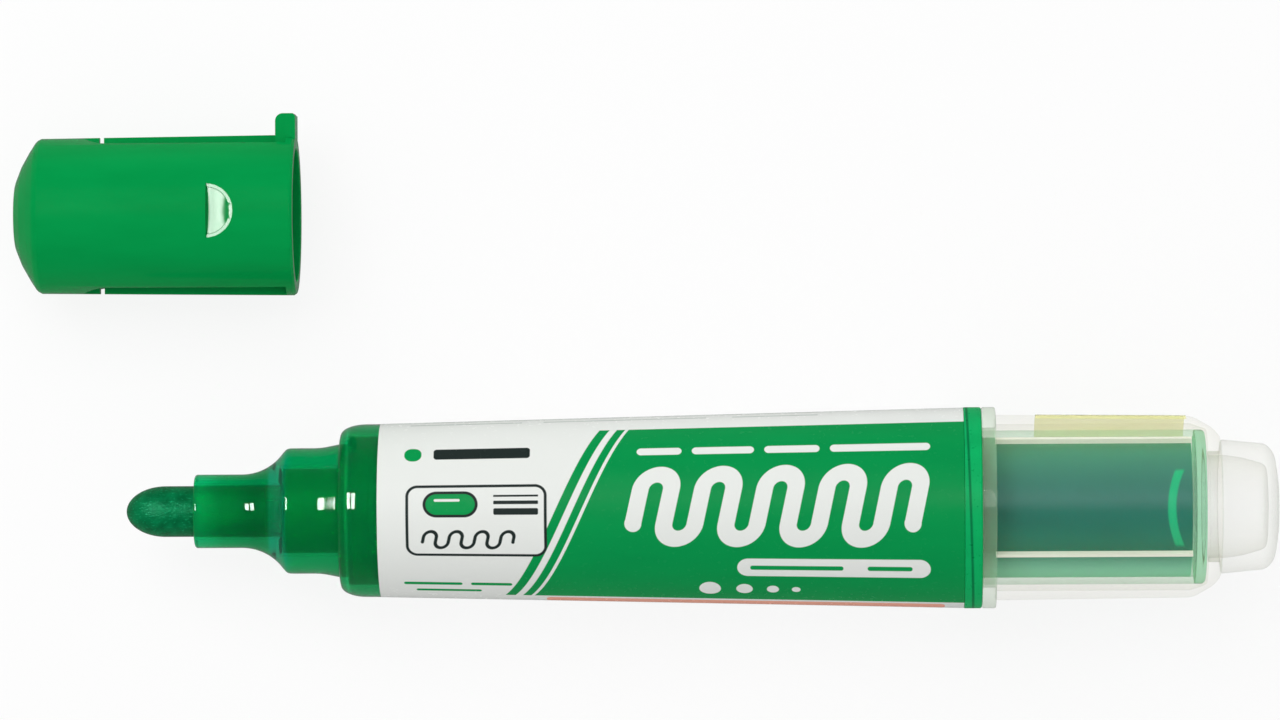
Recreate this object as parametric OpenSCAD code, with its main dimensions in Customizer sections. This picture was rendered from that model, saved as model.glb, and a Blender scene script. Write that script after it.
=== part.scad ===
// Refillable whiteboard marker lying beside its cap.
// Every pen piece is drawn on the X axis with the nib's point at x = 0, and the cap's
// pieces with the closed end at x = 0. on_pen() and on_cap() carry them to their places.

/* [Overall] */
// Length of the marker without its cap
pen_len = 134.8; // [132:0.1:140]
// Sideways distance between the marker's axis and the cap's axis
cap_dy = 34.68; // [30:0.01:60]
// Distance from the nib's point back to the cap's closed end
cap_lead = 13.3; // [8:0.1:30]

/* [Nib and mouthpiece] */
// Radius of the writing nib
nib_r = 3.0; // [2.5:0.05:3.2]
// Length of the bullet-shaped point
nib_point = 4.64; // [3:0.1:6]
// Whole length of the nib
nib_len = 16.6; // [15:0.1:16.8]
// Where the mouthpiece starts
mouth_x = 8.07; // [7:0.1:10]
// Radius of the mouthpiece tube round the nib
mouth_r = 4.3; // [4:0.05:4.6]
// Radius of the seat that the cap grips
seat_r = 7.34; // [7.2:0.01:7.5]
// Where the seat starts
seat_x = 19.0; // [18.8:0.1:19.4]
// Where the barrel's front shoulder stands
shoulder_x = 25.2; // [25:0.1:25.6]

/* [Barrel] */
// Barrel radius where the label starts
barrel_r_front = 10.13; // [10:0.01:10.4]
// Barrel radius where the label ends
barrel_r_rear = 11.71; // [11.4:0.01:11.74]
// Where the label starts
label_x0 = 29.85; // [29:0.05:32]
// Where the label ends
label_x1 = 97.97; // [94:0.01:98]
// Radius of the collar at the rear of the barrel
collar_r = 11.75; // [11.75:0.01:12.2]
// Where the barrel ends
barrel_end = 100.05; // [99.5:0.05:100.05]

/* [Rear shell] */
// Where the flange of the rear shell ends
flange_end = 101.7; // [101.4:0.1:103]
// Radius of the rear shell behind its flange
shell_r_front = 10.82; // [10.7:0.01:11]
// Radius of the rear shell at its far end
shell_r_rear = 10.6; // [10.5:0.01:10.7]
// Turn of the first inner rib, from the top towards the cap's side
rib_turn = 56; // [0:1:89]

/* [Cartridge] */
// Outer radius of the ink cartridge
cart_r = 9.0; // [8.8:0.01:9.0]
// Where the cartridge ends
cart_end = 126.1; // [125.8:0.1:126.1]

/* [Cap] */
// Length of the cap
cap_len = 33.3; // [32:0.1:36]
// Radius of the cap behind its bevelled end
cap_r_end = 9.1; // [8.9:0.01:9.2]
// Radius of the cap at its mouth
cap_r_mouth = 9.42; // [9.2:0.01:9.5]
// Half of the distance across the two side flats
flat_y = 8.45; // [8.3:0.01:8.8]
// Reach of the anti-roll lug from the cap's axis
lug_reach = 11.9; // [10:0.1:13]

/* [Hidden] */
$fn = 96;

fit = 0.05;          // radial clearance of the parts that slide or turn
eps = 0.5;           // how far cutters reach past a face
arc_steps = 7;       // chords in each rounded edge

wick_r = 1.3;
nose_r = 4.9;        // front tube of the collector
nose_x = 18.8;
comb_x = 28.0;       // first fin of the collector
comb_r = 7.8;
comb_core_r = 3.6;
fin_count = 25;
fin_pitch = 1.2;
fin_t = 0.6;
comb_end = comb_x + fin_count * fin_pitch;
bore_r = 8.7;        // front bore of the barrel
skirt_r = bore_r - fit;
flute_x = 13.55;     // the hollow flare in front of the seat starts here
flute_r = 6.0;
flute_turn = 54;
gasket_x = 26.3;
gasket_t = 0.6;
skirt_x = gasket_x + gasket_t;
skirt_end = 31.0;
base_t = 2.6;        // plate that carries the piercing tube
base_end = comb_end + base_t;
spike_r = 2.2;
spike_end = 68;
spike_slant = 2;     // length of the slanted cut on the spike's point
chamber_x = 61.5;    // barrel bore widens here for the cartridge
chamber_r = 9.35;
socket_x = 90.5;     // threaded socket of the barrel
socket_r = 10.55;
label_t = 0.08;

neck_x = 62;
neck_r = 4.2;
neck_flange_x = 64.6;
tube_x = 66;
tube_wall = 0.8;
neck_end = 70;
ink_level = 122.5;   // deepest point of the hollow end of the ink
ink_rim = 124.4;

shell_x = 91;        // front edge of the threaded sleeve
flange_x = barrel_end + fit;
shell_bore_r = 9.75;
rib_r = cart_r + 0.15;
rib_w = 0.4;
shell_floor_x = 126.3;
rib_end = 124.4;     // the ribs stop where the bore closes in
shell_end = 127.9;
plug_hole_r = 6.5;
plug_x = 126.5;      // front edge of the tail plug, clear of the cartridge
sticker_t = 0.08;

cap_bore_r = seat_r + fit;
cap_lip_r = 7.8;     // wider mouth that passes the flare of the seat
cap_lip = 1.6;
cap_grip_x = 24.4;   // the bore grips the seat from here to its mouth
cap_inner_r = 7.6;   // wider bore behind the grip
cap_floor = 3.2;     // depth of solid plastic at the closed end
liner_r = mouth_r + fit;
liner_wall = 0.9;
liner_end = 20.2;
lug_x = 30.96;
lug_end = 33.3;

pen_x = -(pen_len - cap_lead) / 2;
pen_y = -(cap_dy + lug_reach - collar_r) / 2;

// Quarter of an ellipse from (r0, x0) to (r1, x1), leaving r0 along the radius.
function round_out(r0, x0, r1, x1) = [
  for (i = [0:arc_steps])
    let (a = 90 * i / arc_steps) [r0 + (r1 - r0) * sin(a), x0 + (x1 - x0) * (1 - cos(a))]
];

// Quarter of an ellipse from (r0, x0) to (r1, x1), leaving r0 along the axis.
function round_in(r0, x0, r1, x1) = [
  for (i = [0:arc_steps])
    let (a = 90 * i / arc_steps) [r0 + (r1 - r0) * (1 - cos(a)), x0 + (x1 - x0) * sin(a)]
];

function label_r(x) =
  barrel_r_front + (barrel_r_rear - barrel_r_front) * (x - label_x0) / (label_x1 - label_x0);

function shell_r(x) =
  shell_r_front + (shell_r_rear - shell_r_front) * (x - flange_end) / (124.2 - flange_end);

module on_pen() {
  translate([pen_x, pen_y, collar_r]) children();
}

module on_cap() {
  translate([pen_x - cap_lead, pen_y + cap_dy, cap_r_mouth]) children();
}

// A turned piece: the profile's points are [radius, place along the axis].
module turned(profile) {
  rotate([0, 90, 0]) rotate_extrude() polygon(profile);
}

// Part of a turned piece, between two turns counted from the top towards the cap's side.
module turned_part(profile, from_turn, to_turn) {
  rotate([0, 90, 0])
    rotate([0, 0, 180 - to_turn])
      rotate_extrude(angle = to_turn - from_turn) polygon(profile);
}

module ring(r_in, r_out, x0, x1) {
  turned([[r_in, x0], [r_out, x0], [r_out, x1], [r_in, x1]]);
}

module nib() {
  color("darkgreen") on_pen()
    turned(concat(round_out(0, 0, nib_r, nib_point), [[nib_r, nib_len], [0, nib_len]]));
}

module mouthpiece() {
  edge = 0.35;
  color("seagreen") on_pen()
    turned(concat(
      [[nib_r + fit, mouth_x]],
      round_out(mouth_r - edge, mouth_x, mouth_r, mouth_x + edge),
      [for (i = [0:arc_steps])
        let (a = flute_turn * i / arc_steps)
          [mouth_r + flute_r * (1 - cos(a)), flute_x + flute_r * sin(a)]],
      [[seat_r - 0.15, seat_x - 0.2], [seat_r, seat_x + 0.1], [seat_r, 23.9], [seat_r + 0.41, 24.9], [seat_r + 0.41, skirt_x]],
      [[skirt_r, skirt_x], [skirt_r, skirt_end], [comb_r + fit, skirt_end]],
      [[comb_r + fit, comb_x], [nose_r + fit, comb_x], [nose_r + fit, nose_x]],
      [[nib_r + fit, nose_x]]
    ));
}

// Sleeve that stops the nib and guides the wick.
module nib_stop() {
  color("darkcyan") on_pen() ring(wick_r, nib_r + fit, nib_len + fit, nose_x);
}

module feed_wick() {
  color("darkslategray") on_pen() ring(0, wick_r, nib_len + fit, base_end + 1.5);
}

// Finned ink regulator, slit along its top so that air can pass between the fins.
module collector() {
  fins = [
    for (i = [0:fin_count - 1], p = [[comb_r, 0], [comb_r, fin_t], [comb_core_r, fin_t],
                                     [comb_core_r, fin_pitch]])
      [p[0], comb_x + i * fin_pitch + p[1]]
  ];
  slit_w = 0.8;
  color("darkslategray") on_pen()
    difference() {
      turned(concat([[wick_r, nose_x], [nose_r, nose_x], [nose_r, comb_x]], fins,
                    [[wick_r, comb_end]]));
      translate([comb_x + fin_pitch - eps, -slit_w / 2, 4.6])
        cube([(fin_count - 1) * fin_pitch + 2 * eps, slit_w, comb_r]);
    }
}

// Plate behind the collector with the hollow spike that opens the cartridge.
module piercing_tube() {
  duct_r = 0.9;
  wick_end = base_end + 1.5;
  color("honeydew") on_pen()
    difference() {
      turned([
        [wick_r, comb_end], [skirt_r, comb_end], [skirt_r, base_end], [spike_r, base_end],
        [spike_r, spike_end], [duct_r, spike_end], [duct_r, wick_end], [wick_r, wick_end]
      ]);
      translate([spike_end, 0, -spike_r])
        rotate([0, -atan(spike_slant / (2 * spike_r)), 0])
          translate([0, -spike_r - eps, -1])
            cube([3 * spike_slant, 2 * (spike_r + eps), 4 * spike_r]);
    }
}

module front_gasket() {
  color("dimgray") on_pen() ring(cap_lip_r, skirt_r, gasket_x, skirt_x);
}

module barrel() {
  face_r = 8.8;
  color("mediumseagreen") on_pen()
    turned(concat(
      [[cap_lip_r, shoulder_x]],
      round_out(face_r, shoulder_x, barrel_r_front - 0.02, shoulder_x + 3),
      [[barrel_r_front, label_x0], [barrel_r_front - label_t, label_x0]],
      [[barrel_r_rear - label_t, label_x1], [collar_r, label_x1], [collar_r, barrel_end]],
      [[socket_r, barrel_end], [socket_r, socket_x], [chamber_r, socket_x]],
      [[chamber_r, chamber_x], [bore_r, chamber_x], [bore_r, gasket_x], [cap_lip_r, gasket_x]]
    ));
}

module barrel_label() {
  color("green") on_pen()
    turned([
      [barrel_r_front - label_t, label_x0], [barrel_r_front, label_x0],
      [barrel_r_rear, label_x1], [barrel_r_rear - label_t, label_x1]
    ]);
}

module cartridge_tube() {
  inner_r = cart_r - tube_wall;
  color("darkseagreen") on_pen()
    turned([
      [inner_r, tube_x], [cart_r, tube_x], [cart_r, cart_end - 0.5], [cart_r - 0.5, cart_end],
      [0, cart_end], [0, cart_end - 0.9], [inner_r, cart_end - 0.9]
    ]);
}

module cartridge_neck() {
  bore = spike_r + fit;
  groove_r = 3.3;
  plug_in_r = cart_r - tube_wall - fit;
  color("whitesmoke") on_pen()
    turned([
      [bore, neck_x], [neck_r, neck_x], [neck_r, neck_flange_x], [cart_r, neck_flange_x],
      [cart_r, tube_x], [plug_in_r, tube_x], [plug_in_r, neck_end],
      [bore, neck_end], [bore, neck_x + 2.2], [groove_r, neck_x + 2.2],
      [groove_r, neck_x + 1.2], [bore, neck_x + 1.2]
    ]);
}

module neck_seal() {
  section_r = 0.5;
  color("black") on_pen()
    translate([neck_x + 1.7, 0, 0])
      rotate([0, 90, 0])
        rotate_extrude() translate([spike_r + fit + section_r, 0]) circle(section_r, $fn = 24);
}

module cartridge_foil() {
  color("silver") on_pen() ring(spike_r + fit, neck_r - 0.2, neck_x - 0.12, neck_x);
}

module ink_fill() {
  inner_r = cart_r - tube_wall;
  duct_r = spike_r + fit;
  color("darkgreen") on_pen()
    turned(concat(
      [[0, neck_end], [inner_r, neck_end]],
      [for (p = round_in(inner_r, ink_rim, 0, ink_level)) p]
    ));
}

module rear_shell() {
  sleeve_r = socket_r - fit;
  color("ivory", 0.8) on_pen() {
    turned(concat(
      [[chamber_r, shell_x], [sleeve_r, shell_x], [sleeve_r, flange_x], [collar_r, flange_x]],
      [[collar_r, flange_end], [shell_r_front, flange_end], [shell_r_rear, 124.2]],
      [[10.25, 125.1], [9.8, 126], [9.36, 127], [8.6, 127.5], [8.1, shell_end]],
      [[plug_hole_r, shell_end], [plug_hole_r, shell_floor_x], [cart_r, shell_floor_x]],
      [[9.2, 126.0], [shell_bore_r, rib_end], [shell_bore_r, flange_end]],
      [[chamber_r, flange_end]]
    ));
    for (i = [0:3])
      rotate([-rib_turn - 90 * i, 0, 0])
        translate([flange_end - 0.3, -rib_w / 2, rib_r])
          cube([rib_end - flange_end, rib_w, shell_bore_r - rib_r + 0.3]);
  }
}

module shell_sticker() {
  x0 = 106.4;
  x1 = 123.9;
  color("khaki") on_pen()
    turned_part([[shell_r(x0), x0], [shell_r(x0) + sticker_t, x0],
                 [shell_r(x1) + sticker_t, x1], [shell_r(x1), x1]], 75, 200);
}

module tail_plug() {
  root_x = shell_end + fit;
  color("white") on_pen()
    turned(concat(
      [[6.0, plug_x], [plug_hole_r - fit, plug_x], [plug_hole_r - fit, root_x]],
      [[7.84, root_x], [7.4, pen_len - 2.3]],
      round_in(7.4, pen_len - 2.3, 4.8, pen_len - 0.4),
      [[0, pen_len], [0, pen_len - 1.2], [4.9, pen_len - 1.5]],
      [[5.7, 130.5], [6.0, 128.5]]
    ));
}

// Flat on one side of the cap: its front end runs out in an arc, and its rear stops at the rim.
module side_flat(z0, z1) {
  run_x = 11.1;
  run_r = 6;
  rim_x = cap_len - 1.1;
  run_in = [for (i = [0:arc_steps]) let (a = 30 * (1 - i / arc_steps))
             [run_x - run_r * sin(a), flat_y + run_r * (1 - cos(a))]];
  translate([0, 0, z0])
    linear_extrude(z1 - z0)
      polygon(concat(run_in, [[rim_x, flat_y], [rim_x, cap_r_mouth + eps],
                              [run_x - run_r * sin(30), cap_r_mouth + eps]]));
}

module cap_lug() {
  corner = 0.9;
  corner_arc = [for (i = [0:arc_steps]) let (a = 90 * i / arc_steps)
                 [lug_x + corner * (1 - cos(a)), lug_reach - corner * (1 - sin(a))]];
  translate([0, 0, -2.4])
    linear_extrude(4.8)
      polygon(concat([[lug_end, 8.4], [lug_x, 8.4]], corner_arc,
                     [[lug_end - 0.3, lug_reach], [lug_end, lug_reach - 0.3]]));
}

// D-shaped thumb notch: a half-round pocket whose floor rises towards the mouth.
module thumb_notch() {
  step_x = 23.25;
  notch_r = 3.15;
  depth = 0.95;
  tilt = 14;
  off_centre = 2.8; // degrees towards the lug's side
  r_here = cap_r_end + (cap_r_mouth - cap_r_end) * step_x / cap_len;
  rotate([-off_centre, 0, 0]) translate([step_x, 0, r_here - depth])
    intersection() {
      translate([0, 0, -eps]) cylinder(r = notch_r, h = 3);
      rotate([0, -tilt, 0]) translate([0, -4, 0]) cube([6, 8, 3]);
      translate([0, -4, -eps]) cube([6, 8, 3]);
    }
}

// Narrow gap across the fin that stands on a side flat.
module fin_gap() {
  translate([10.2, flat_y, -1]) cube([0.55, 2, 2]);
}

module cap_shell() {
  fin_half = 0.75;
  side = cap_r_mouth;
  color("green") on_cap() {
    difference() {
      turned([
        [0, 0], [3.9, 0.3], [5.9, 1.1], [7.65, 2.1], [8.65, 2.75], [8.9, 3.0],
        [cap_r_end, 3.4],
        [cap_r_mouth, cap_len - 0.3], [cap_r_mouth - 0.25, cap_len], [cap_lip_r, cap_len],
        [cap_lip_r, cap_len - cap_lip], [cap_bore_r, cap_len - cap_lip - 0.3],
        [cap_bore_r, cap_grip_x], [cap_inner_r, cap_grip_x - 0.2], [cap_inner_r, cap_floor],
        [0, cap_floor]
      ]);
      for (m = [0, 1])
        mirror([0, m, 0]) {
          side_flat(fin_half, side);
          side_flat(-side, -fin_half);
          fin_gap();
        }
      thumb_notch();
    }
    cap_lug();
  }
}

// Soft inner cap that seals round the mouthpiece.
module inner_cap() {
  flange_t = 1.1;
  out_r = liner_r + liner_wall;
  color("honeydew") on_cap()
    turned([
      [0, cap_floor], [cap_inner_r, cap_floor], [cap_inner_r, cap_floor + flange_t],
      [out_r, cap_floor + flange_t], [out_r, liner_end], [liner_r + 0.3, liner_end],
      [liner_r, liner_end - 0.5], [liner_r, cap_floor + flange_t + 0.4],
      [0, cap_floor + flange_t + 0.4]
    ]);
}

nib();
mouthpiece();
nib_stop();
feed_wick();
collector();
piercing_tube();
front_gasket();
barrel();
barrel_label();
cartridge_tube();
cartridge_neck();
neck_seal();
cartridge_foil();
ink_fill();
rear_shell();
shell_sticker();
tail_plug();
cap_shell();
inner_cap();
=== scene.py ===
import math

import bmesh
import bpy
from mathutils import Matrix, Vector


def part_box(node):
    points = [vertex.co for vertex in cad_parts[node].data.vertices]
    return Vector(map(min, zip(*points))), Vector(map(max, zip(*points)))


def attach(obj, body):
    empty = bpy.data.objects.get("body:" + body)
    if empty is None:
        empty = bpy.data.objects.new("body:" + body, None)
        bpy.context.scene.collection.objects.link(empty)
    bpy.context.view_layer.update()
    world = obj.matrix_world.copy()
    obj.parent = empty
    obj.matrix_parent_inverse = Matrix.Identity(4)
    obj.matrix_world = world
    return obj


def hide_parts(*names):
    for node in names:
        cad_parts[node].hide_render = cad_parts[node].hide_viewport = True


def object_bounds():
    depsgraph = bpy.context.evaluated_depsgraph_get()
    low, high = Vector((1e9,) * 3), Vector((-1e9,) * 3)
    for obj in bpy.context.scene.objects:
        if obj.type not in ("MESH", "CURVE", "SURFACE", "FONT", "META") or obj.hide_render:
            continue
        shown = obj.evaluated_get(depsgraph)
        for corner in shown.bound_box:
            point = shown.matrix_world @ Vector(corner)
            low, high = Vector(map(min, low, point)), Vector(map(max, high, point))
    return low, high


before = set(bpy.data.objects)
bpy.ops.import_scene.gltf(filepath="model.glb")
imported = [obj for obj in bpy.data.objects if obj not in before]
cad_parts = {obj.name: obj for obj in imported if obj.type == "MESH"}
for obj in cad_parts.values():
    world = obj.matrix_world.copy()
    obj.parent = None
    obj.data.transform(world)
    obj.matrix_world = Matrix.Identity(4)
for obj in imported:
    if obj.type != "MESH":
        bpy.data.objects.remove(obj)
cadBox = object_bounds()
scene = bpy.context.scene
scene.view_settings.view_transform = "Standard"
mm = 0.001

# The two axes that everything is turned about, and where each starts.
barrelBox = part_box("barrel")
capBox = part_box("cap_shell")
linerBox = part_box("inner_cap")
penStart = Vector((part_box("nib")[0].x, *((barrelBox[0] + barrelBox[1]) / 2).yz))
capStart = Vector((capBox[0].x, *((linerBox[0] + linerBox[1]) / 2).yz))
tubeMouth = 8.07  # where the clear tube starts, in mm from the nib's tip


def colour(code):
    channels = [int(code[i:i + 2], 16) / 255 for i in (0, 2, 4)]
    linear = [c / 12.92 if c <= 0.04045 else ((c + 0.055) / 1.055) ** 2.4 for c in channels]
    return (*linear, 1.0)


# Helpers for material nodes.

class Nodes:
    # Adds nodes to a material's tree and links whatever is handed over as a socket.
    def __init__(self, tree):
        self.tree = tree

    def feed(self, socket, value):
        if isinstance(value, bpy.types.NodeSocket):
            self.tree.links.new(value, socket)
        else:
            socket.default_value = value

    def math(self, operation, *values):
        node = self.tree.nodes.new("ShaderNodeMath")
        node.operation = operation
        for socket, value in zip(node.inputs, values):
            self.feed(socket, value)
        return node.outputs[0]

    def vector(self, operation, *values):
        node = self.tree.nodes.new("ShaderNodeVectorMath")
        node.operation = operation
        for socket, value in zip(node.inputs, values):
            self.feed(socket, value)
        return node.outputs["Value"] if operation == "LENGTH" else node.outputs["Vector"]

    def ramp(self, value, low, high, toLow=0.0, toHigh=1.0):
        node = self.tree.nodes.new("ShaderNodeMapRange")
        for name, given in (("Value", value), ("From Min", low), ("From Max", high),
                            ("To Min", toLow), ("To Max", toHigh)):
            self.feed(node.inputs[name], given)
        return node.outputs["Result"]

    def mix(self, share, first, second):
        node = self.tree.nodes.new("ShaderNodeMix")
        node.data_type = "RGBA"
        self.feed(node.inputs[0], share)
        self.feed(node.inputs[6], first)
        self.feed(node.inputs[7], second)
        return node.outputs[2]

    def split(self, value):
        node = self.tree.nodes.new("ShaderNodeSeparateXYZ")
        self.feed(node.inputs[0], value)
        return node.outputs

    def place(self, stretch=(1, 1, 1)):
        # Object coordinates in millimetres, stretched along an axis.
        spot = self.tree.nodes.new("ShaderNodeTexCoord")
        mapping = self.tree.nodes.new("ShaderNodeMapping")
        mapping.inputs["Scale"].default_value = [1000 * s for s in stretch]
        self.tree.links.new(spot.outputs["Object"], mapping.inputs["Vector"])
        return mapping.outputs["Vector"]

    def noise(self, where, scale, detail=2.0):
        node = self.tree.nodes.new("ShaderNodeTexNoise")
        self.tree.links.new(where, node.inputs["Vector"])
        node.inputs["Scale"].default_value = scale
        node.inputs["Detail"].default_value = detail
        return node.outputs["Fac"]

    def bump(self, height, strength, depth):
        node = self.tree.nodes.new("ShaderNodeBump")
        node.inputs["Strength"].default_value = strength
        node.inputs["Distance"].default_value = depth * mm
        self.tree.links.new(height, node.inputs["Height"])
        return node.outputs["Normal"]


def newFinish(name, **fixed):
    material = bpy.data.materials.new(name)
    material.use_nodes = True
    shader = material.node_tree.nodes["Principled BSDF"]
    for socket, value in fixed.items():
        shader.inputs[socket.replace("_", " ")].default_value = value
    return material, Nodes(material.node_tree), shader


# The camera, the lights and the table.

view = {"fieldWidth": 0.1497, "lens": 236, "sensor": 36, "aim": (-0.0005, -0.00007, 0),
        "lean": 1.3, "roll": -0.3}
# Leans are in degrees from straight up, towards +X and towards +Y, seen from x = aimX.
softboxes = {
    "key": {"aimX": 0, "lean": -15, "rise": 24, "power": 0.95, "size": (0.30, 0.30),
            "soft": True},
    "glintLeft": {"aimX": -0.037, "lean": -32.9, "rise": 11, "power": 2.6,
                  "size": (0.072, 0.18), "soft": False},
    "glintMiddle": {"aimX": -0.037, "lean": -21.0, "rise": 11, "power": 2.6,
                    "size": (0.072, 0.18), "soft": False},
    "glintRight": {"aimX": 0.05, "lean": 4, "rise": 10, "power": 0.32,
                   "size": (0.07, 0.165), "soft": False},
}
stage = {"boxDistance": 0.5, "worldLevel": 0.64, "ceiling": 0.04, "wall": 0.2,
         "tableGlow": 0.86, "tableInGloss": 0.15, "tableSize": 4.0}


def makeCamera():
    middle = (cadBox[0] + cadBox[1]) / 2
    camera = bpy.data.objects.new("camera", bpy.data.cameras.new("camera"))
    camera.data.lens = view["lens"]
    camera.data.sensor_width = view["sensor"]
    distance = view["fieldWidth"] * view["lens"] / view["sensor"]
    lean = math.radians(view["lean"])
    camera.location = middle + Vector(view["aim"]) + distance * Vector(
        (math.sin(lean), 0, math.cos(lean)))
    camera.rotation_euler = (0, lean, math.radians(view["roll"]))
    scene.collection.objects.link(camera)
    scene.camera = camera


def makeSoftbox(name, settings):
    lamp = bpy.data.lights.new(name, "AREA")
    lamp.shape = "RECTANGLE"
    lamp.size, lamp.size_y = settings["size"]
    lamp.energy = settings["power"]
    box = bpy.data.objects.new(name, lamp)
    lean, rise = math.radians(settings["lean"]), math.radians(settings["rise"])
    aim = Vector((math.sin(lean), math.sin(rise), math.cos(lean) * math.cos(rise))).normalized()
    box.location = aim * stage["boxDistance"] + Vector((settings["aimX"], 0, 0))
    side = (Vector((1, 0, 0)) - aim * aim.x).normalized()
    box.rotation_euler = Matrix((side, aim.cross(side), aim)).transposed().to_euler()
    # The key lights without a glint; the glints only show in glossy surfaces.
    box.visible_glossy = not settings["soft"]
    box.visible_diffuse = settings["soft"]
    scene.collection.objects.link(box)


def makeWorld():
    world = bpy.data.worlds.new("studio")
    world.use_nodes = True
    tree = world.node_tree
    nodes = Nodes(tree)
    background = tree.nodes["Background"]
    background.inputs["Color"].default_value = (1, 1, 1, 1)
    paths = tree.nodes.new("ShaderNodeLightPath").outputs
    way = tree.nodes.new("ShaderNodeTexCoord")
    height = nodes.split(way.outputs["Generated"])["Z"]
    # Gloss mirrors pale walls and a dim ceiling; the rest is even.
    level = nodes.ramp(height, 0.0, 0.45, stage["wall"], stage["ceiling"])
    level = nodes.ramp(paths["Is Glossy Ray"], 0, 1, stage["worldLevel"], level)
    level = nodes.ramp(paths["Is Camera Ray"], 0, 1, level, 1.0)
    level = nodes.ramp(paths["Is Transmission Ray"], 0, 1, level, 1.0)
    tree.links.new(level, background.inputs["Strength"])
    world.cycles.sampling_method = "NONE"
    scene.world = world


def makeTable():
    reach = stage["tableSize"] / 2
    mesh = bpy.data.meshes.new("table")
    corners = [(-reach, -reach, 0), (reach, -reach, 0), (reach, reach, 0), (-reach, reach, 0)]
    mesh.from_pydata(corners, [], [(0, 1, 2, 3)])
    table = bpy.data.objects.new("table", mesh)
    scene.collection.objects.link(table)
    material, nodes, paper = newFinish("tablePaper", Base_Color=(0.93, 0.93, 0.93, 1),
                                       Roughness=0.9)
    tree = material.node_tree
    paths = tree.nodes.new("ShaderNodeLightPath").outputs
    camera, glossy, clear = [
        paths[f"Is {kind} Ray"] for kind in ("Camera", "Glossy", "Transmission")]
    glow = tree.nodes.new("ShaderNodeEmission")
    onlyGloss = nodes.math("MAXIMUM", nodes.math("SUBTRACT", glossy, clear), 0)
    nodes.feed(glow.inputs["Strength"], nodes.ramp(onlyGloss, 0, 1, 1, stage["tableInGloss"]))
    seen = nodes.math("MAXIMUM", nodes.math("MAXIMUM", camera, glossy), clear)
    mix = tree.nodes.new("ShaderNodeMixShader")
    nodes.feed(mix.inputs[0], nodes.math("MULTIPLY", seen, stage["tableGlow"]))
    tree.links.new(paper.outputs[0], mix.inputs[1])
    tree.links.new(glow.outputs[0], mix.inputs[2])
    tree.links.new(mix.outputs[0], tree.nodes["Material Output"].inputs["Surface"])
    mesh.materials.append(material)


makeCamera()
for boxName, boxSettings in softboxes.items():
    makeSoftbox(boxName, boxSettings)
makeWorld()
makeTable()
print("camera, lights and table made")


# The finishes of the plastics, the felt and the ink.

def mouldedPlastic(name, tone, shade, roughness, grain=0.02, **fixed):
    # Moulded plastic: faint flow marks in the colour, a fine skin and uneven gloss.
    material, nodes, shader = newFinish(name, **fixed)
    flow = nodes.noise(nodes.place((0.25, 1, 1)), 0.35, 3)
    skin = nodes.noise(nodes.place(), 2.2, 4)
    nodes.feed(shader.inputs["Base Color"], nodes.mix(nodes.ramp(flow, 0.3, 0.7), tone, shade))
    nodes.feed(shader.inputs["Roughness"], nodes.ramp(skin, 0.2, 0.8, *roughness))
    nodes.feed(shader.inputs["Normal"], nodes.bump(skin, 0.25, grain))
    return material


def seeThroughPlastic(name, tone, shade, roughness, opacity, **fixed):
    # Milky plastic: clearer where it's looked at squarely, denser at a slant.
    material = mouldedPlastic(name, tone, shade, roughness, **fixed)
    nodes = Nodes(material.node_tree)
    shader = material.node_tree.nodes["Principled BSDF"]
    facing = material.node_tree.nodes.new("ShaderNodeLayerWeight")
    facing.inputs["Blend"].default_value = 0.35
    nodes.feed(shader.inputs["Alpha"], nodes.ramp(facing.outputs["Facing"], 0.0, 1.0, *opacity))
    return material


# The fade ends the painted light on the felt inside the mouthpiece.
feltLook = {"gloss": 0.19, "glossTint": colour("60ffb8"), "litInTubeFade": 1.2}


def feltFinish(name, tone, shade, paintedGlint, litInTube=None):
    # Pressed fibre soaked with ink: bundles along the axis, with painted glints as lighter flecks
    # between them.
    material, nodes, shader = newFinish(name, Specular_IOR_Level=feltLook["gloss"],
                                        Specular_Tint=feltLook["glossTint"])
    fibres = nodes.noise(nodes.place((1, 2.2, 2.2)), 2.4, 6)
    clumps = nodes.noise(nodes.place(), 0.9, 3)
    base = nodes.mix(nodes.ramp(clumps, 0.3, 0.7), tone, shade)
    if litInTube:
        # Painted light: the felt inside the mouthpiece gets a brighter colour for how it looks
        # through the plastic.
        along = nodes.split(nodes.place())["X"]
        edge = penStart.x / mm + tubeMouth
        base = nodes.mix(nodes.ramp(along, edge, edge + feltLook["litInTubeFade"]), base, litInTube)
    # Painted glints: lighter flecks mixed into the colour.
    paintedGlints = nodes.mix(nodes.ramp(fibres, 0.58, 0.75), base, paintedGlint)
    nodes.feed(shader.inputs["Base Color"], paintedGlints)
    nodes.feed(shader.inputs["Roughness"], nodes.ramp(fibres, 0.3, 0.7, 0.24, 0.1))
    nodes.feed(shader.inputs["Normal"], nodes.bump(fibres, 0.8, 0.12))
    return material


def tintRing(material, middle, fade, share, tone, slant=0.0):
    # Tints a ring round the pen, so far from its tip in mm, and optionally slanted.
    nodes = Nodes(material.node_tree)
    shader = material.node_tree.nodes["Principled BSDF"]
    plain = shader.inputs["Base Color"].links[0].from_socket
    offset = nodes.split(nodes.vector("SUBTRACT", nodes.place(), tuple(penStart / mm)))
    along = nodes.math("MULTIPLY_ADD", offset["Y"], slant, offset["X"])
    reach = nodes.math("ABSOLUTE", nodes.math("SUBTRACT", along, middle))
    tinted = nodes.mix(nodes.ramp(reach, *fade, share, 0), plain, tone)
    nodes.feed(shader.inputs["Base Color"], tinted)
    return material


# The ink's far-half and near-edge colours are a painted reflection and painted light.
inkLook = {
    "tones": (colour("127a70"), colour("0e706a")), "paintedReflectionHalf": colour("3c807c"),
    "paintedEdgeLight": colour("a4dccc"), "nearFrom": -5.0, "nearTo": -7.4,
    "crescent": colour("04cc90"), "centre": 132.7, "radius": 10.7, "width": 0.95, "reach": 4.4,
}


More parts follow.
